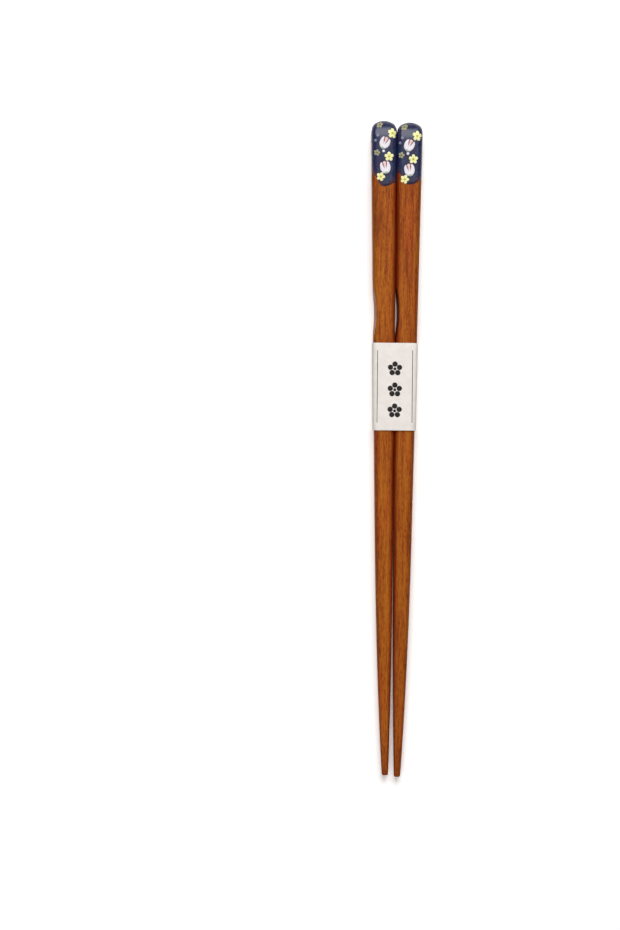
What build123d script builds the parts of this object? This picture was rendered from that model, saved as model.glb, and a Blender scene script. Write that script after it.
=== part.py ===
"""A pair of lacquered wooden chopsticks, lying side by side in a folded paper band.

Millimetres and degrees. The pair lies on its back: +Y runs from the tips to the rounded tops, +X to
the right and +Z up. The origin is on the table, under the middle of the pair.
"""

import math
import os

from build123d import *

# Sticks. Distances along a stick are measured from its top.
stick_length = 225.0
top_width = 8.8
shaft_length = 130.0
shaft_end_width = 6.52
corner_radius = 1.7
least_flat = 0.2

# Thin end of a stick, from the end of the straight shaft to the tip
tip_width = 2.2
tip_corner_radius = 0.9
tip_edge_radius = 0.55
tip_shift = 0.4
tip_curve_power = 2.5
tip_sections = 6

# Rounded top of a stick, which keeps its width further up as seen from above than from the side
dome_length = 6.0
dome_flat = 2.0
dome_fullness_above = 4.0
dome_fullness_side = 2.0
dome_sections = 9

# Finger scoop on the left side of each stick, deeper towards the face that lies up
scoop_centre = 65.5
scoop_length = 16.0
scoop_depth = 0.8
scoop_tilt = 6.0

# How the two sticks lie
stick_gap = 0.1
stick_slip = 0.5

# Paper band, a strip folded round both sticks whose ends are glued together under them
paper_thickness = 0.2
band_from_top = 76.0
band_length = 30.0
band_room_at_top = 0.1
band_room_at_bottom = 0.25
lap_width = 9.0

# What follows from the sizes above
taper = (top_width - shaft_end_width) / shaft_length
stick_floor = 2 * paper_thickness

LEFT = -1
RIGHT = 1


def straight_width(along):
    """Width of the shaft at a distance from the top, carried straight on to the tip."""
    return top_width - taper * along


def stick_top(side):
    """Where a stick's top lies along Y. The right stick has slipped down a little."""
    return stick_length / 2 - side * stick_slip / 2


def upright(x, y, z):
    """Plane across the sticks, with its own x to the right and its own y up."""
    return Plane(origin=(x, y, z), x_dir=(1, 0, 0), z_dir=(0, -1, 0))


def stick_section(side, along, width, height, radius, shift=0.0):
    """Section of a stick at a distance from its top. Some flat stays between its rounded corners."""
    half = straight_width(along) / 2
    middle = side * (stick_gap / 2 + half - shift)
    plane = upright(middle, stick_top(side) - along, stick_floor + half)
    radius = min(radius, (min(width, height) - least_flat) / 2)
    return plane * RectangleRounded(width, height, radius)


def rounding(along, fullness):
    """Share of the full width that is left near the top, on a curve that ends in a small flat."""
    flat_share = dome_flat / top_width
    return math.sqrt(1 - (1 - flat_share**2) * (1 - along / dome_length) ** fullness)


def make_dome(side):
    """Rounded top, from the shaft up to its small flat."""
    sections = []
    for step in range(dome_sections):
        turn = math.pi / 2 * step / (dome_sections - 1)
        along = dome_length * (1 - math.sin(turn))
        width = straight_width(along) * rounding(along, dome_fullness_above)
        height = straight_width(along) * rounding(along, dome_fullness_side)
        sections.append(stick_section(side, along, width, height, corner_radius))
    return loft(sections)


def make_shaft(side):
    """Straight tapered shaft with flat sides and rounded corners."""
    sections = []
    for along in (dome_length, shaft_length):
        width = straight_width(along)
        sections.append(stick_section(side, along, width, width, corner_radius))
    return loft(sections, ruled=True)


def make_tip(side):
    """Thin end, which narrows in a curve and shifts in towards its mate."""
    drop = straight_width(stick_length) - tip_width
    sections = []
    for step in range(tip_sections):
        share = step / (tip_sections - 1)
        along = shaft_length + share * (stick_length - shaft_length)
        bend = share**tip_curve_power
        width = straight_width(along) - drop * bend
        radius = corner_radius + (tip_corner_radius - corner_radius) * share
        sections.append(stick_section(side, along, width, width, radius, tip_shift * bend))
    tip = loft(sections)
    end_face = tip.faces().sort_by(Axis.Y)[0]
    return fillet(end_face.edges(), tip_edge_radius)


def make_scoop(side):
    """Large round cutter that hollows the left side of a stick for a finger."""
    radius = (scoop_length**2 / 4 + scoop_depth**2) / (2 * scoop_depth)
    width = straight_width(scoop_centre)
    flank = side * (stick_gap / 2 + width / 2) - width / 2
    back_off = radius - scoop_depth
    middle = stick_top(side) - scoop_centre
    if side == LEFT:
        # The left stick's outer side slants, so the cutter stands square to it.
        middle -= taper * back_off
    place = Pos(flank, middle, stick_floor + width / 2) * Rot(0, scoop_tilt, 0) * Pos(-back_off, 0, 0)
    return place * Cylinder(radius, 2 * top_width)


def make_stick(side):
    """One whole stick."""
    return make_dome(side) + make_shaft(side) + make_tip(side) - make_scoop(side)


def band_section(along, room):
    """Section of the band's wall round both sticks, with the room that it leaves them."""
    inner_width = 2 * (stick_gap / 2 + straight_width(along) + room)
    inner_height = straight_width(along) + room
    inner_radius = corner_radius + room
    outer = RectangleRounded(
        inner_width + 2 * paper_thickness,
        inner_height + 2 * paper_thickness,
        inner_radius + paper_thickness,
    )
    inner = RectangleRounded(inner_width, inner_height, inner_radius)
    plane = upright(0, stick_length / 2 - along, stick_floor + inner_height / 2)
    return plane * (outer - inner)


def make_band():
    """Folded strip round the pair, with the doubled lap beneath it."""
    upper = band_section(band_from_top, band_room_at_top)
    lower = band_section(band_from_top + band_length, band_room_at_bottom)
    wall = loft([upper, lower], ruled=True)
    middle = stick_length / 2 - band_from_top - band_length / 2
    lap = Pos(0, middle, paper_thickness / 2) * Box(lap_width, band_length, paper_thickness)
    return wall + lap


os.makedirs("parts", exist_ok=True)
export_step(make_stick(LEFT), "parts/chopstick_left.step")
export_step(make_stick(RIGHT), "parts/chopstick_right.step")
export_step(make_band(), "parts/paper_band.step")
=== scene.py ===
"""Looks of a pair of lacquered wooden chopsticks in a folded paper band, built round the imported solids."""

import math

import bmesh
import bpy
from mathutils import Matrix, Vector


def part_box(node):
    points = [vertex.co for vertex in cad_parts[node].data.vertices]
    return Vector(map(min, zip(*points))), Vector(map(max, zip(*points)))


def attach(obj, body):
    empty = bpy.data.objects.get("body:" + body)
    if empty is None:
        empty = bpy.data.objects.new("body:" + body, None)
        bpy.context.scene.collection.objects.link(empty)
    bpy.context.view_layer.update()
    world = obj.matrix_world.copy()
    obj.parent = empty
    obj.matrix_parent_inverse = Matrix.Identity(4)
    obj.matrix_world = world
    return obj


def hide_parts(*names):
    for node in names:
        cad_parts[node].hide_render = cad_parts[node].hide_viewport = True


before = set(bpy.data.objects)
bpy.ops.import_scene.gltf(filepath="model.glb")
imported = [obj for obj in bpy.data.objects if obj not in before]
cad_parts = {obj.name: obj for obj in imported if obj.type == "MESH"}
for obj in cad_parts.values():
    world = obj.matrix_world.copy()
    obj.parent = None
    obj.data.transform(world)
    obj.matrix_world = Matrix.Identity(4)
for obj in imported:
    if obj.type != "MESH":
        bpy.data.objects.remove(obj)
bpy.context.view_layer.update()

# The two sticks
# Each is one piece of orange-brown hardwood, shaped to a rounded square that tapers to a thin tip,
# hollowed on its left side for a finger, sanded smooth and wiped with a thin clear coat.
MM = 0.001
SIDES = {"left": -1, "right": 1}
stick_low, stick_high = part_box("chopstick_left")
stick_length = (stick_high.y - stick_low.y) / MM
stick_floor = stick_low.z / MM
stick_top = {side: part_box("chopstick_" + name)[1].y / MM for name, side in SIDES.items()}
top_width = 8.8
shaft_length = 130.0
shaft_end_width = 6.52
corner_radius = 1.7
least_flat = 0.2
tip_width = 2.2
tip_corner_radius = 0.9
tip_edge_radius = 0.55
tip_shift = 0.4
tip_curve_power = 2.5
dome_length = 6.0
dome_flat = 2.0
dome_fullness_above = 4.0
dome_fullness_side = 2.0
scoop_centre = 65.5
scoop_length = 16.0
scoop_depth = 0.8
scoop_tilt = math.radians(6.0)
scoop_softness = 0.15
stick_gap = 0.1
taper = (top_width - shaft_end_width) / shaft_length

# Steps round one half of a section: half the upper flat, a corner, the side, a corner, half the lower flat
half_section_steps = (3, 10, 6, 10, 3)
quarter_turn = math.pi / 2


def straight_width(along):
    """Width of the straight shaft in millimetres, carried on to the tip."""
    return top_width - taper * along


def dome_share(along, fullness):
    """Share of the full width that is left near the rounded top."""
    if along >= dome_length:
        return 1.0
    flat_share = dome_flat / top_width
    return math.sqrt(1 - (1 - flat_share**2) * (1 - along / dome_length) ** fullness)


def stick_section(side, along):
    """Middle (x, z) of a stick's section and its outline: half width, half height and corner radius."""
    straight = straight_width(along)
    share = max(0.0, (along - shaft_length) / (stick_length - shaft_length))
    bend = share**tip_curve_power
    width = straight - (straight_width(stick_length) - tip_width) * bend
    radius = corner_radius + (tip_corner_radius - corner_radius) * share
    half_width = width * dome_share(along, dome_fullness_above) / 2
    half_height = width * dome_share(along, dome_fullness_side) / 2
    radius = min(radius, min(half_width, half_height) - least_flat / 2)
    middle = (side * (stick_gap / 2 + straight / 2 - tip_shift * bend), stick_floor + straight / 2)
    return middle, (half_width, half_height, radius)


def grown(outline, lift):
    """A rounded outline set off outwards by a distance."""
    return [size + lift for size in outline]


def section_point(outline, turn):
    """Point on a rounded outline. Turn 0 is the middle of its top, 5 or -5 the middle of its bottom."""
    half_width, half_height, radius = outline
    flat_x = half_width - radius
    flat_z = half_height - radius
    stretch = min(int(abs(turn)), 4)
    share = abs(turn) - stretch
    if stretch == 0:
        x, z, angle = flat_x * share, flat_z, quarter_turn
    elif stretch == 1:
        x, z, angle = flat_x, flat_z, quarter_turn * (1 - share)
    elif stretch == 2:
        x, z, angle = flat_x, flat_z * (1 - 2 * share), 0.0
    elif stretch == 3:
        x, z, angle = flat_x, -flat_z, -quarter_turn * share
    else:
        x, z, angle = flat_x * (1 - share), -flat_z, -quarter_turn
    return Vector((math.copysign(x + radius * math.cos(angle), turn), z + radius * math.sin(angle)))


def section_turns(steps):
    """Turns of the points all round a section, from the bottom round the left to the bottom again."""
    half = [stretch + step / count for stretch, count in enumerate(steps) for step in range(count)]
    half.append(float(len(steps)))
    return [-turn for turn in reversed(half[1:])] + half


def skin_point(side, along, turn, lift=0.0):
    """Point on a stick's surface in metres, lifted off it by millimetres."""
    middle, outline = stick_section(side, along)
    point = section_point(grown(outline, lift), turn)
    rise = lift * max(0.0, 1 - along / dome_length)
    return Vector((middle[0] + point.x, stick_top[side] - along + rise, middle[1] + point.y)) * MM


def hollow(side, point):
    """Moves a point inside the finger scoop out to its round surface, which meets the stick softly."""
    radius = (scoop_length**2 / 4 + scoop_depth**2) / (2 * scoop_depth) * MM
    width = straight_width(scoop_centre)
    back_off = radius - scoop_depth * MM
    flank = (side * (stick_gap + width) - width) / 2 * MM
    centre_y = (stick_top[side] - scoop_centre) * MM
    if side == SIDES["left"]:
        centre_y -= taper * back_off
    centre = Vector((flank, centre_y, (stick_floor + width / 2) * MM))
    turned = Matrix.Rotation(scoop_tilt, 3, "Y")
    local = turned.inverted() @ (point - centre)
    if abs(local.y) < radius:
        depth = math.sqrt(radius**2 - local.y**2) - back_off - local.x
        local.x += (depth + math.hypot(depth, scoop_softness * MM)) / 2
    return turned @ local + centre


def wrapped_grid(shape, columns, rows, place):
    """Adds a grid to a bmesh, laid where place(column, row) says, with its seams and poles closed."""
    half = 0.5
    weld = 0.00001 * MM
    grid = bmesh.ops.create_grid(shape, x_segments=columns, y_segments=rows, size=half, calc_uvs=True)
    for vertex in grid["verts"]:
        column = round((vertex.co.x + half) * columns)
        row = round((vertex.co.y + half) * rows)
        vertex.co = place(column, row)
    bmesh.ops.remove_doubles(shape, verts=grid["verts"], dist=weld)


def new_shape():
    """An empty bmesh with a UV map."""
    shape = bmesh.new()
    shape.loops.layers.uv.new("UVMap")
    return shape


def new_piece(name, shape, material):
    """Makes a smooth-shaded object of a bmesh and gives it its finish."""
    mesh = bpy.data.meshes.new(name)
    shape.to_mesh(mesh)
    shape.free()
    mesh.shade_smooth()
    mesh.materials.append(material)
    piece = bpy.data.objects.new(name, mesh)
    bpy.context.scene.collection.objects.link(piece)
    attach(piece, "root")
    return piece


def new_material(name):
    """A node material and its shader."""
    material = bpy.data.materials.new(name)
    material.use_nodes = True
    return material, material.node_tree, material.node_tree.nodes["Principled BSDF"]


def stretched_noise(tree, start, along, scale, detail):
    """Noise that starts at a place. Its scale along the sticks is a share of its scale across them."""
    place = tree.nodes.new("ShaderNodeTexCoord")
    mapping = tree.nodes.new("ShaderNodeMapping")
    mapping.inputs["Location"].default_value = start
    mapping.inputs["Scale"].default_value = (1.0, along, 1.0)
    noise = tree.nodes.new("ShaderNodeTexNoise")
    noise.inputs["Scale"].default_value = scale
    noise.inputs["Detail"].default_value = detail
    tree.links.new(place.outputs["Object"], mapping.inputs["Vector"])
    tree.links.new(mapping.outputs["Vector"], noise.inputs["Vector"])
    return noise.outputs["Fac"]


def blended(tree, value, span, results):
    """A number that goes from one result to another as a value crosses a span."""
    blend = tree.nodes.new("ShaderNodeMapRange")
    blend.inputs["From Min"].default_value, blend.inputs["From Max"].default_value = span
    blend.inputs["To Min"].default_value, blend.inputs["To Max"].default_value = results
    tree.links.new(value, blend.inputs["Value"])
    return blend.outputs["Result"]


def colour_ramp(tree, factor, stops):
    """Colours laid along a factor, as (place, colour) stops."""
    ramp = tree.nodes.new("ShaderNodeValToRGB")
    while len(ramp.color_ramp.elements) < len(stops):
        ramp.color_ramp.elements.new(0.5)
    for element, (place, colour) in zip(ramp.color_ramp.elements, stops):
        element.position = place
        element.color = (*colour, 1.0)
    tree.links.new(factor, ramp.inputs["Fac"])
    return ramp.outputs["Color"]


def mixed(tree, factor, first, second, blend="MIX"):
    """Two colours mixed by a fixed share or by a factor."""
    first_colour, second_colour, mixed_colour = 6, 7, 2
    mix = tree.nodes.new("ShaderNodeMix")
    mix.data_type = "RGBA"
    mix.blend_type = blend
    if isinstance(factor, float):
        mix.inputs["Factor"].default_value = factor
    else:
        tree.links.new(factor, mix.inputs["Factor"])
    tree.links.new(first, mix.inputs[first_colour])
    tree.links.new(second, mix.inputs[second_colour])
    return mix.outputs[mixed_colour]


def add_bump(tree, shader, height, strength, distance):
    """Fine relief on a surface, its depth in millimetres."""
    bump = tree.nodes.new("ShaderNodeBump")
    bump.inputs["Strength"].default_value = strength
    bump.inputs["Distance"].default_value = distance * MM
    tree.links.new(height, bump.inputs["Height"])
    tree.links.new(bump.outputs["Normal"], shader.inputs["Normal"])


def own_map(tree, axis):
    """One axis of a piece's own UV map."""
    uv_map = tree.nodes.new("ShaderNodeUVMap")
    split = tree.nodes.new("ShaderNodeSeparateXYZ")
    tree.links.new(uv_map.outputs["UV"], split.inputs["Vector"])
    return split.outputs[axis]


def corner_stops(on_corners, on_flats):
    """Stops round a section, from its bottom round the left: each corner between the flats beside it."""
    reach = 0.085
    stops = []
    for corner, colour in enumerate(on_corners):
        middle = (corner + 0.5) / len(on_corners)
        before, after = on_flats[corner : corner + 2]
        stops += [(middle - reach, before), (middle, colour), (middle + reach, after)]
    return stops


def stick_wood(name, side):
    """Orange-brown hardwood: long streaks, a finer grain and short dark pores, under a satin coat, with
    painted shade on its corners and on the side that faces the other stick.
    """
    dark_streak = (0.240, 0.049, 0.003)
    plain_wood = (0.350, 0.081, 0.005)
    pale_wood = (0.412, 0.111, 0.007)
    ochre_streak = (0.428, 0.140, 0.010)
    red_tint = (0.95, 0.68, 0.80)
    pore_tint = (0.62, 0.50, 0.44)
    outer_painted_shade = (0.66, 0.68, 0.80)
    gap_painted_shade = (0.57, 0.29, 0.42)
    white = (1.0, 1.0, 1.0)
    darker_board = (0.93, 0.88, 0.90)
    own_tint = white if side == SIDES["left"] else darker_board
    # Each stick is cut from its own place in the wood.
    start = (0.31 * side, 0.17 * side, 0.0)
    material, tree, shader = new_material(name)
    figure = stretched_noise(tree, start, along=0.06, scale=520.0, detail=4.0)
    grain = stretched_noise(tree, start, along=0.05, scale=1700.0, detail=3.0)
    pores = stretched_noise(tree, start, along=0.04, scale=5200.0, detail=1.0)
    tint = stretched_noise(tree, start, along=0.08, scale=240.0, detail=2.0)
    mottle = stretched_noise(tree, start, along=0.30, scale=2600.0, detail=2.0)
    grain_share = 0.45
    mottle_share = 0.30
    streaks = mixed(tree, mottle_share, mixed(tree, grain_share, figure, grain), mottle)
    stops = ((0.40, dark_streak), (0.475, plain_wood), (0.53, pale_wood), (0.59, ochre_streak))
    colour = colour_ramp(tree, streaks, stops)
    reds = colour_ramp(tree, tint, ((0.50, own_tint), (0.66, red_tint)))
    colour = mixed(tree, 1.0, colour, reds, "MULTIPLY")
    pits = colour_ramp(tree, pores, ((0.34, pore_tint), (0.42, white)))
    colour = mixed(tree, 1.0, colour, pits, "MULTIPLY")
    # Painted shade: every corner is darkened, and the corners and flank that face the other stick are
    # darkened and reddened like the shadow between the sticks.
    # The corners in order: under left, upper left, upper right, under right
    corner_shades = [gap_painted_shade if hand == -side else outer_painted_shade for hand in (-1, -1, 1, 1)]
    # The flats in order: half the bottom, left side, top, right side, half the bottom
    flat_shades = [gap_painted_shade if hand == -side else white for hand in (0, -1, 0, 1, 0)]
    painted_edge_shade = colour_ramp(tree, own_map(tree, "X"), corner_stops(corner_shades, flat_shades))
    colour = mixed(tree, 1.0, colour, painted_edge_shade, "MULTIPLY")
    tree.links.new(colour, shader.inputs["Base Color"])
    tree.links.new(blended(tree, grain, (0.35, 0.65), (0.50, 0.40)), shader.inputs["Roughness"])
    shader.inputs["Specular IOR Level"].default_value = 0.13
    add_bump(tree, shader, pits, strength=0.25, distance=0.03)
    return material


def stick_rows():
    """Stations from the tip's end to the top, as (along, lift, closed)."""
    edge_steps = 4
    tip_steps = 34
    shaft_steps = 34
    scoop_steps = 60
    dome_steps = 16
    scoop_reach = 0.8 * scoop_length
    rows = [(stick_length, 0.0, True)]
    for step in range(edge_steps + 1):
        angle = quarter_turn * (1 - step / edge_steps)
        from_end = tip_edge_radius * (1 - math.sin(angle))
        rows.append((stick_length - from_end, tip_edge_radius * (math.cos(angle) - 1), False))
    stretches = (
        (stick_length - tip_edge_radius, shaft_length, tip_steps),
        (shaft_length, scoop_centre + scoop_reach, shaft_steps),
        (scoop_centre + scoop_reach, scoop_centre - scoop_reach, scoop_steps),
        (scoop_centre - scoop_reach, dome_length, shaft_steps),
    )
    for start, end, count in stretches:
        rows += [(start + (end - start) * (step + 1) / count, 0.0, False) for step in range(count)]
    for step in range(1, dome_steps + 1):
        rows.append((dome_length * (1 - math.sin(quarter_turn * step / dome_steps)), 0.0, False))
    rows.append((0.0, 0.0, True))
    return rows


def even_flats(piece):
    """Keeps the flat faces of a piece looking flat beside its rounded corners."""
    piece.modifiers.new("even_flats", "WEIGHTED_NORMAL")


def make_stick(name, side):
    """One stick as a closed skin of its sections."""
    rows = stick_rows()
    turns = section_turns(half_section_steps)

    def place(column, row):
        along, lift, closed = rows[row]
        if closed:
            middle, _ = stick_section(side, along)
            return Vector((middle[0], stick_top[side] - along, middle[1])) * MM
        return hollow(side, skin_point(side, along, turns[column], lift))

    shape = new_shape()
    wrapped_grid(shape, len(turns) - 1, len(rows) - 1, place)
    bmesh.ops.recalc_face_normals(shape, faces=shape.faces)
    stick = new_piece("stick_" + name, shape, stick_wood("wood_" + name, side))
    even_flats(stick)
    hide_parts("chopstick_" + name)


for side_name, side_number in SIDES.items():
    make_stick(side_name, side_number)

# The lacquered tops
# The top of each stick is dipped in navy lacquer, a thin glossy skin over the wood. Its lower edge
# dips in a tongue on every face, with deep and shallow notches in turn at the corners, where it thins out.
lacquer_thickness = 0.05
lacquer_length = {SIDES["left"]: 22.6, SIDES["right"]: 21.5}
lacquer_deep_notch = 4.2
lacquer_shallow_notch = 1.2
lacquer_notch_power = 2.0
lacquer_rows = 40
lacquer_half_section_steps = (8, 8, 16, 8, 8)


def lacquer_end(side, turn):
    """How far down a stick its lacquer reaches at a turn round it."""
    _, outline = stick_section(side, lacquer_length[side])
    point = section_point(outline, turn)
    angle = math.atan2(point.x, point.y)
    notch = lacquer_shallow_notch if math.sin(2 * angle) > 0 else lacquer_deep_notch
    near_corner = 0.5 - 0.5 * math.cos(4 * angle)
    return lacquer_length[side] - notch * near_corner**lacquer_notch_power


def navy_lacquer():
    """Deep navy gloss, faintly clouded, that turns brown where it thins out at its lower edge."""
    navy = (0.012, 0.016, 0.058)
    violet_navy = (0.020, 0.017, 0.066)
    blue_navy = (0.011, 0.023, 0.074)
    thin_edge = (0.120, 0.036, 0.020)
    white = (1.0, 1.0, 1.0)
    grey = (0.35, 0.35, 0.35)
    material, tree, shader = new_material("navy_lacquer")
    clouds = stretched_noise(tree, (0.0, 0.0, 0.0), along=0.6, scale=420.0, detail=3.0)
    colour = colour_ramp(tree, clouds, ((0.38, violet_navy), (0.50, navy), (0.62, blue_navy)))
    low = blended(tree, own_map(tree, "Y"), (0.0, 0.08), (1.0, 0.0))
    at_corners = colour_ramp(tree, own_map(tree, "X"), corner_stops([white] * 4, [grey] * 5))
    thin = mixed(tree, 1.0, low, at_corners, "MULTIPLY")
    brown = colour_ramp(tree, clouds, ((0.45, thin_edge), (0.7, navy)))
    tree.links.new(mixed(tree, thin, colour, brown), shader.inputs["Base Color"])
    tree.links.new(blended(tree, clouds, (0.4, 0.6), (0.22, 0.30)), shader.inputs["Roughness"])
    shader.inputs["Specular IOR Level"].default_value = 0.42
    return material


def add_thickness(piece, thickness):
    """Gives a piece's skin its thickness, in millimetres inwards."""
    layer = piece.modifiers.new("thickness", "SOLIDIFY")
    layer.thickness = thickness * MM
    layer.offset = -1.0


def make_lacquer(name, side, material):
    """The lacquer skin over one stick's top, from its wavy lower edge to the middle of the dome."""
    turns = section_turns(lacquer_half_section_steps)

    def place(column, row):
        if row == lacquer_rows:
            middle, _ = stick_section(side, 0.0)
            return Vector((middle[0], stick_top[side] + lacquer_thickness, middle[1])) * MM
        share = math.sin(quarter_turn * row / lacquer_rows)
        along = lacquer_end(side, turns[column]) * (1 - share)
        return skin_point(side, along, turns[column], lacquer_thickness)

    shape = new_shape()
    wrapped_grid(shape, len(turns) - 1, lacquer_rows, place)
    lacquer = new_piece("lacquer_" + name, shape, material)
    add_thickness(lacquer, 2 * lacquer_thickness)
    even_flats(lacquer)


lacquer_finish = navy_lacquer()
for side_name, side_number in SIDES.items():
    make_lacquer(side_name, side_number, lacquer_finish)

# The printed blossoms
# Five-petalled blossoms in pale yellow ink, screen-printed on the lacquer and strewn over all four faces
# of each top. Two on every face came out thin and dim.
print_depth = 0.12
ink_rise = 0.015
dome_bend_radius = 5.2
print_slip = {SIDES["left"]: (-0.15, 0.2), SIDES["right"]: (-0.5, 0.55)}

# The four faces: quarter turns to each, whether the pattern is mirrored there, how far it is moved round
print_faces = ((0, 1, 0.0), (1, 1, 0.9), (2, 1, 0.0), (3, -1, -0.9))


def half_way_round(outline):
    """Distance in millimetres from the middle of the upper face round to the middle of the lower one."""
    half_width, half_height, radius = outline
    return 2 * (half_width + half_height - 2 * radius) + math.pi * radius


def turn_at(outline, across):
    """Turn that lies a number of millimetres round from the middle of the upper face."""
    half_width, half_height, radius = outline
    corner = quarter_turn * radius
    lengths = (half_width - radius, corner, 2 * (half_height - radius), corner, half_width - radius)
    left = abs(across)
    for stretch, length in enumerate(lengths):
        if left <= length:
            return math.copysign(stretch + left / length, across)
        left -= length
    return math.copysign(len(lengths), across)


def print_point(side, quarter, across, down, rise):
    """Point on the printed ink, by its place on one of the stick's four faces, unrolled flat."""
    along = down
    if down < dome_length:
        bend = min((dome_length - down) / dome_bend_radius, quarter_turn)
        along = dome_length * (1 - math.sin(bend))
    _, outline = stick_section(side, along)
    _, full_outline = stick_section(side, dome_length)
    share = (across / half_way_round(full_outline) + quarter / 2 + 1) % 2 - 1
    turn = turn_at(outline, share * half_way_round(outline))
    return skin_point(side, along, turn, lacquer_thickness + rise)


def add_print(shape, side, face, outline, spot, rise, columns):
    """Adds one printed shape to a bmesh, laid on the lacquer. A spot is (across, down, size, lean)."""
    rows = 4
    across, down, size, lean = spot
    quarter, mirrored, moved_round = face
    across = mirrored * across + moved_round + print_slip[side][0]
    down += print_slip[side][1]
    leaning = Matrix.Rotation(-mirrored * math.radians(lean), 2)

    def place(column, row):
        angle = 2 * math.pi * (column / columns - 0.5)
        step = leaning @ outline(angle) * size * row / rows
        return print_point(side, quarter, across + step.x, down - step.y, rise)

    wrapped_grid(shape, columns, rows, place)


def make_print(name, ink, outline, spots, rise=ink_rise, columns=50):
    """One kind of motif on both sticks, at all its spots on every face."""
    shape = new_shape()
    for side in SIDES.values():
        for face in print_faces:
            for spot in spots:
                add_print(shape, side, face, outline, spot, rise, columns)
    motifs = new_piece(name, shape, ink)
    add_thickness(motifs, print_depth)
    even_flats(motifs)


def print_ink(name, axis, stops):
    """Satin printing ink, coloured by its own UV map: X runs round a motif and Y out from its middle."""
    material, tree, shader = new_material(name)
    tree.links.new(colour_ramp(tree, own_map(tree, axis), stops), shader.inputs["Base Color"])
    shader.inputs["Roughness"].default_value = 0.38
    shader.inputs["Specular IOR Level"].default_value = 0.3
    return material


def blossom_outline(angle):
    """Edge of a blossom of round petals, one unit in radius."""
    petals = 5
    heart = 0.42
    reach = heart + (1 - heart) * math.sqrt(abs(math.cos(petals / 2 * angle)))
    return Vector((math.sin(angle), math.cos(angle))) * reach


olive = (0.33, 0.30, 0.035)
pale_yellow = (0.86, 0.83, 0.30)
cream_yellow = (0.92, 0.88, 0.48)
yellow_ink = print_ink("yellow_ink", "Y", ((0.12, olive), (0.38, pale_yellow), (0.95, cream_yellow)))
blossom_spots = (
    (3.0, 4.5, 1.65, 8.0),
    (1.8, 12.3, 1.65, 0.0),
    (-1.1, 19.2, 1.55, 20.0),
)
make_print("blossoms", yellow_ink, blossom_outline, blossom_spots, columns=70)

dim_centre = (0.06, 0.06, 0.03)
dim_petal = (0.34, 0.32, 0.16)
dim_edge = (0.40, 0.38, 0.23)
dim_ink = print_ink("dim_yellow_ink", "Y", ((0.15, dim_centre), (0.45, dim_petal), (0.95, dim_edge)))
dim_spots = (
    (-1.9, 1.4, 1.4, 0.0),
    (-2.4, 11.0, 1.1, 15.0),
)
make_print("dim_blossoms", dim_ink, blossom_outline, dim_spots, columns=70)

# The printed buds
# White flower buds, parted at the tip in three petals with a pink one in the middle, printed in the
# gaps between the blossoms. Brownish slits and a small green cup are printed over the white.
bud_white = (0.83, 0.76, 0.82)
bud_pale = (0.84, 0.80, 0.84)
bud_pink = (0.82, 0.50, 0.47)
bud_spots = (
    (0.3, 7.6, 2.1, 24.0),
    (0.5, 16.0, 2.15, -10.0),
)
slit_place = (0.48, 0.62)
slit_size = 1.35
slit_spread = 11.0
cup_place = (0.0, -1.85)
cup_size = 0.5
over_ink_rise = 2 * ink_rise


def bud_outline(angle):
    """Edge of a cup-shaped bud whose tip is parted in three petals, one unit in half length."""
    half_width = 0.84
    notch_angle = 0.34
    notch_width = 0.11
    notch_depth = 0.30
    across = math.sin(angle) / half_width
    upward = math.cos(angle)
    fullness = 2.7 if upward > 0 else 2.0
    reach = (abs(across) ** fullness + abs(upward) ** fullness) ** (-1 / fullness)
    notch = math.exp(-(((abs(angle) - notch_angle) / notch_width) ** 2))
    return Vector((math.sin(angle), math.cos(angle))) * reach * (1 - notch_depth * notch)


def slit_outline(angle):
    """Edge of the gap between two petals of a bud, a wedge that narrows to a point below."""
    half_width = 0.27
    openness = 0.5 + 0.5 * math.cos(angle)
    return Vector((half_width * math.sin(angle) * openness, math.cos(angle)))


def cup_outline(angle):
    """Edge of a small cup, wide and low, whose two ends curl up."""
    half_width = 1.25
    half_height = 0.72
    curl = 0.35
    across = math.sin(angle)
    return Vector((half_width * across, half_height * math.cos(angle) + curl * across**2))


def spots_on_buds(place, size, spread=0.0):
    """Spots at one place on every bud, turned with the bud."""
    spots = []
    for across, down, _, lean in bud_spots:
        step = Matrix.Rotation(-math.radians(lean), 2) @ Vector(place)
        spots.append((across + step.x, down - step.y, size, lean + spread))
    return spots


bud_stops = (
    (0.0, bud_pale),
    (0.30, bud_white),
    (0.43, bud_white),
    (0.50, bud_pink),
    (0.57, bud_white),
    (1.0, bud_pale),
)
make_print("buds", print_ink("white_ink", "X", bud_stops), bud_outline, bud_spots)

slit_brown = (0.19, 0.075, 0.070)
slit_pink = (0.42, 0.24, 0.23)
slit_ink = print_ink("pink_brown_ink", "Y", ((0.3, slit_brown), (1.0, slit_pink)))
slit_spots = []
for hand in (-1, 1):
    slit_spots += spots_on_buds((hand * slit_place[0], slit_place[1]), slit_size, hand * slit_spread)
make_print("bud_slits", slit_ink, slit_outline, slit_spots, rise=over_ink_rise, columns=24)

cup_green = (0.34, 0.42, 0.26)
cup_pale_green = (0.52, 0.58, 0.46)
cup_ink = print_ink("green_ink", "Y", ((0.2, cup_green), (1.0, cup_pale_green)))
cup_spots = spots_on_buds(cup_place, cup_size)
make_print("bud_cups", cup_ink, cup_outline, cup_spots, rise=over_ink_rise, columns=24)

# The printed dots
# Small round dots of white ink, screen-printed between the flowers with the rest of the pattern. On every
# face one dot is printed full, and two are so thin that the lacquer shows through them.
dot_white = (0.80, 0.80, 0.86)
dot_edge = (0.60, 0.60, 0.68)
haze_middle = (0.23, 0.25, 0.33)
haze_edge = (0.14, 0.16, 0.24)
dot_ink = print_ink("dot_ink", "Y", ((0.5, dot_white), (1.0, dot_edge)))
haze_ink = print_ink("haze_ink", "Y", ((0.4, haze_middle), (1.0, haze_edge)))
dot_spots = ((-0.1, 10.4, 0.5, 0.0),)
haze_spots = ((-2.1, 5.1, 0.5, 0.0), (-2.9, 6.8, 0.5, 0.0))


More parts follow.
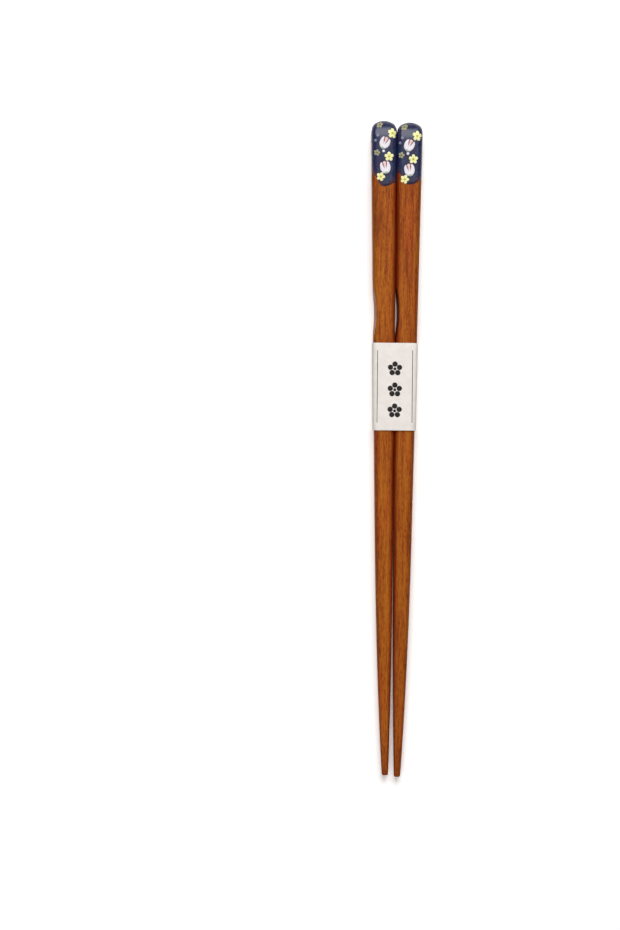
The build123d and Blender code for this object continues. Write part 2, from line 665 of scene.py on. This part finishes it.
def dot_outline(angle):
    """Edge of a round dot."""
    return Vector((math.sin(angle), math.cos(angle)))


make_print("dots", dot_ink, dot_outline, dot_spots, columns=20)
make_print("dim_dots", haze_ink, dot_outline, haze_spots, columns=20)

# The paper band
# A strip of stiff uncoated white paper, folded tight round both sticks over soft corners. Its ends lap
# under the pair and are glued together there.
paper_thickness = 0.2
paper_room_at_top = 0.1
paper_room_at_bottom = 0.25
lap_width = 9.0
lap_slope = 1.6
paper_bow = 0.06
band_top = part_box("paper_band")[1].y / MM
band_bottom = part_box("paper_band")[0].y / MM
band_rows = 16


def band_section(y):
    """Height of the middle of the band's section, and the outline of its outside."""
    share = (band_top - y) / (band_top - band_bottom)
    room = paper_room_at_top + (paper_room_at_bottom - paper_room_at_top) * share
    width = straight_width(stick_length / 2 - y)
    inside = (stick_gap / 2 + width + room, (width + room) / 2, corner_radius + room)
    return stick_floor + (width + room) / 2, grown(inside, paper_thickness)


def band_point(y, turn, lift=0.0):
    """Point on the outside of the band in metres, lifted off it by millimetres."""
    middle, outline = band_section(y)
    point = section_point(grown(outline, lift), turn)
    bow = paper_bow * math.cos(quarter_turn * min(abs(turn), 1.0)) ** 2
    return Vector((point.x, y, middle + point.y + bow)) * MM


def white_paper():
    """Uncoated paper: warm white with a faint cloud and a fine tooth of fibres."""
    warm_white = (0.85, 0.785, 0.735)
    clear_white = (0.90, 0.845, 0.795)
    material, tree, shader = new_material("white_paper")
    cloud = stretched_noise(tree, (0.0, 0.0, 0.0), along=1.0, scale=420.0, detail=4.0)
    fibres = stretched_noise(tree, (0.2, 0.0, 0.1), along=0.35, scale=6500.0, detail=3.0)
    colour = colour_ramp(tree, cloud, ((0.35, warm_white), (0.65, clear_white)))
    fibre_shade = blended(tree, fibres, (0.35, 0.60), (0.945, 1.0))
    tree.links.new(mixed(tree, 1.0, colour, fibre_shade, "MULTIPLY"), shader.inputs["Base Color"])
    shader.inputs["Roughness"].default_value = 0.85
    shader.inputs["Specular IOR Level"].default_value = 0.2
    add_bump(tree, shader, fibres, strength=0.3, distance=0.02)
    return material


band_half_section_steps = (12, 10, 6, 10, 12)
band_turns = section_turns(band_half_section_steps)
paper_finish = white_paper()


def band_place(column, row):
    """Point of the band's wall, from its lower edge up."""
    y = band_bottom + (band_top - band_bottom) * row / band_rows
    return band_point(y, band_turns[column])


band_shape = new_shape()
wrapped_grid(band_shape, len(band_turns) - 1, band_rows, band_place)
band = new_piece("paper_wall", band_shape, paper_finish)
add_thickness(band, paper_thickness)
even_flats(band)
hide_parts("paper_band")

# The lap under the band
# The outer end of the same strip runs on under the inner one to its cut edge. It climbs over the edge
# beneath it on a short slope, and is glued down flat.
lap_columns = 24


def lap_place(column, row):
    """Point on the lap's outside. It leaves the wall on a short slope and then runs flat."""
    y = band_bottom + (band_top - band_bottom) * row / band_rows
    x = lap_width / 2 + lap_slope - (lap_width + lap_slope) * column / lap_columns
    climb = max(0.0, (x - lap_width / 2) / lap_slope)
    z = paper_thickness * climb**2 * (3 - 2 * climb)
    return Vector((x, y, z)) * MM


lap_shape = new_shape()
wrapped_grid(lap_shape, lap_columns, band_rows, lap_place)
lap = new_piece("paper_lap", lap_shape, paper_finish)
add_thickness(lap, paper_thickness)

# The ink on the band
# A plain ornament printed on the front of the strip in matt black ink: three round plum-flower crests in
# a column, between two fine rules.
band_ink_depth = 0.05
crest_places = (27.6, 20.4, 13.2)
crest_petals = 5
crest_petal_radius = 0.92
crest_petal_reach = 1.62
crest_heart_radius = 0.52
rule_from_middle = 6.0
rule_width = 0.22
rule_margin = 2.6


def ink_point(x, y):
    """Point on the ink, by its place on the band's upper face."""
    _, outline = band_section(y)
    return band_point(y, turn_at(outline, x), ink_rise)


def add_ink_dot(shape, x, y, radius):
    """Adds one round dot of ink to a bmesh."""
    columns = 28
    rows = 3

    def place(column, row):
        angle = 2 * math.pi * column / columns
        out = radius * row / rows
        return ink_point(x + out * math.sin(angle), y + out * math.cos(angle))

    wrapped_grid(shape, columns, rows, place)


def add_ink_rule(shape, x):
    """Adds one fine upright line of ink to a bmesh."""
    rows = 12
    length = band_top - band_bottom - 2 * rule_margin

    def place(column, row):
        return ink_point(x + rule_width * (column - 0.5), band_bottom + rule_margin + length * row / rows)

    wrapped_grid(shape, 1, rows, place)


def black_ink():
    """Matt black ink that lies a little unevenly on the paper."""
    full_black = (0.012, 0.011, 0.011)
    thin_black = (0.035, 0.032, 0.031)
    material, tree, shader = new_material("black_ink")
    patches = stretched_noise(tree, (0.0, 0.0, 0.0), along=1.0, scale=2400.0, detail=3.0)
    colour = colour_ramp(tree, patches, ((0.40, full_black), (0.68, thin_black)))
    tree.links.new(colour, shader.inputs["Base Color"])
    shader.inputs["Roughness"].default_value = 0.7
    shader.inputs["Specular IOR Level"].default_value = 0.2
    return material


ink_shape = new_shape()
for crest_y in crest_places:
    add_ink_dot(ink_shape, 0.0, crest_y, crest_heart_radius)
    for petal in range(crest_petals):
        petal_angle = 2 * math.pi * petal / crest_petals
        petal_x = crest_petal_reach * math.sin(petal_angle)
        petal_y = crest_y + crest_petal_reach * math.cos(petal_angle)
        add_ink_dot(ink_shape, petal_x, petal_y, crest_petal_radius)
for rule_side in SIDES.values():
    add_ink_rule(ink_shape, rule_side * rule_from_middle)
ink = new_piece("band_ink", ink_shape, black_ink())
add_thickness(ink, band_ink_depth)

# The table
# A plain matt white table top under the pair. It looks white to the camera and in reflections, keeps the
# pair's soft shadow, and throws less light back on the pair than it shows.
table_reach = 8.0
table_drop = 0.02


def white_table():
    """Matt white that looks brighter than it lights the pair, with a painted warm bounce light that lifts
    the shadow beside it, and white far away.
    """
    seen_white = 1.12
    # Painted light: the glow lightens the pair's shadow. Beside the pair it is warm and stands in for light
    # bounced off the wood.
    painted_bounce_glow = (0.22, 0.170, 0.148)
    glow_near = (0.09, 0.09, 0.09)
    glow_far = (1.0, 1.0, 1.0)
    near = 0.35
    far = 1.5
    thrown_back = 0.40
    material, tree, shader = new_material("white_table")
    shader.inputs["Base Color"].default_value = (seen_white, seen_white, seen_white, 1.0)
    shader.inputs["Roughness"].default_value = 0.9
    shader.inputs["Specular IOR Level"].default_value = 0.0
    shader.inputs["Emission Strength"].default_value = 1.0
    place = tree.nodes.new("ShaderNodeTexCoord")
    from_middle = tree.nodes.new("ShaderNodeVectorMath")
    from_middle.operation = "LENGTH"
    tree.links.new(place.outputs["Object"], from_middle.inputs[0])
    share = blended(tree, from_middle.outputs["Value"], (0.0, far), (0.0, 1.0))
    glow = colour_ramp(tree, share, ((0.0, painted_bounce_glow), (near / far, glow_near), (1.0, glow_far)))
    tree.links.new(glow, shader.inputs["Emission Color"])
    dull = tree.nodes.new("ShaderNodeBsdfDiffuse")
    dull.inputs["Color"].default_value = (thrown_back, thrown_back, thrown_back, 1.0)
    path = tree.nodes.new("ShaderNodeLightPath")
    seen = path.outputs["Is Camera Ray"]
    for ray in ("Is Glossy Ray", "Is Transmission Ray"):
        either = tree.nodes.new("ShaderNodeMath")
        either.operation = "MAXIMUM"
        tree.links.new(seen, either.inputs[0])
        tree.links.new(path.outputs[ray], either.inputs[1])
        seen = either.outputs["Value"]
    choice = tree.nodes.new("ShaderNodeMixShader")
    tree.links.new(seen, choice.inputs["Fac"])
    tree.links.new(dull.outputs["BSDF"], choice.inputs[1])
    tree.links.new(shader.outputs["BSDF"], choice.inputs[2])
    tree.links.new(choice.outputs["Shader"], tree.nodes["Material Output"].inputs["Surface"])
    return material


table_shape = new_shape()
bmesh.ops.create_grid(table_shape, x_segments=1, y_segments=1, size=table_reach, calc_uvs=True)
table_mesh = bpy.data.meshes.new("table")
table_shape.to_mesh(table_mesh)
table_shape.free()
table_mesh.materials.append(white_table())
table = bpy.data.objects.new("table", table_mesh)
table.location.z = -table_drop * MM
bpy.context.scene.collection.objects.link(table)

# The light
# A large round softbox stands beyond the tops, a weaker one near the tips fills the shadows, and the
# pale room round them gives a little light from every side. It is brightest low down, behind the table.
room_light = 0.22
room_light_low = 1.0
room_low_height = 0.12


def add_softbox(name, place, size, power):
    """A round soft light at a place in metres, turned to the middle of the pair."""
    data = bpy.data.lights.new(name, "AREA")
    data.shape = "DISK"
    data.size = size
    data.energy = power
    lamp = bpy.data.objects.new(name, data)
    lamp.location = place
    lamp.rotation_euler = Vector(place).to_track_quat("Z", "Y").to_euler()
    bpy.context.scene.collection.objects.link(lamp)


add_softbox("key_light", place=(0.06, 0.60, 0.80), size=0.85, power=9.1)
add_softbox("fill_light", place=(-0.5, -0.6, 0.9), size=0.8, power=2.4)

room = bpy.data.worlds.new("room")
room.use_nodes = True
room_tree = room.node_tree
room_walls = room_tree.nodes["Background"]
room_walls.inputs["Color"].default_value = (1.0, 1.0, 1.0, 1.0)
direction = room_tree.nodes.new("ShaderNodeTexCoord")
height = room_tree.nodes.new("ShaderNodeSeparateXYZ")
room_tree.links.new(direction.outputs["Object"], height.inputs["Vector"])
strength = blended(room_tree, height.outputs["Z"], (0.0, room_low_height), (room_light_low, room_light))
room_tree.links.new(strength, room_walls.inputs["Strength"])
bpy.context.scene.world = room

# The camera
# It looks straight down on the pair from far enough to show it without much perspective, turned and set
# off so that the pair lies where it does in the photograph.
photo_width = 620
photo_height = 930
stick_length_in_photo = 654.5
photo_scale = stick_length / stick_length_in_photo
pair_middle_in_photo = (394.0, 449.4)
pair_lean = math.radians(0.52)
height_to_scale = 5.0
lens = 110.0
sensor = 36.0

camera_data = bpy.data.cameras.new("camera")
camera_data.lens = lens
camera_data.sensor_width = sensor
camera = bpy.data.objects.new("camera", camera_data)
right = (photo_width / 2 - pair_middle_in_photo[0]) * photo_scale
up = (pair_middle_in_photo[1] - photo_height / 2) * photo_scale
distance = lens / sensor * photo_height * photo_scale
turn_to_photo = Matrix.Rotation(pair_lean, 3, "Z")
camera.location = turn_to_photo @ Vector((right, up, height_to_scale + distance)) * MM
camera.rotation_euler = (0.0, 0.0, pair_lean)
bpy.context.scene.collection.objects.link(camera)
bpy.context.scene.camera = camera
bpy.context.scene.view_settings.view_transform = "Standard"
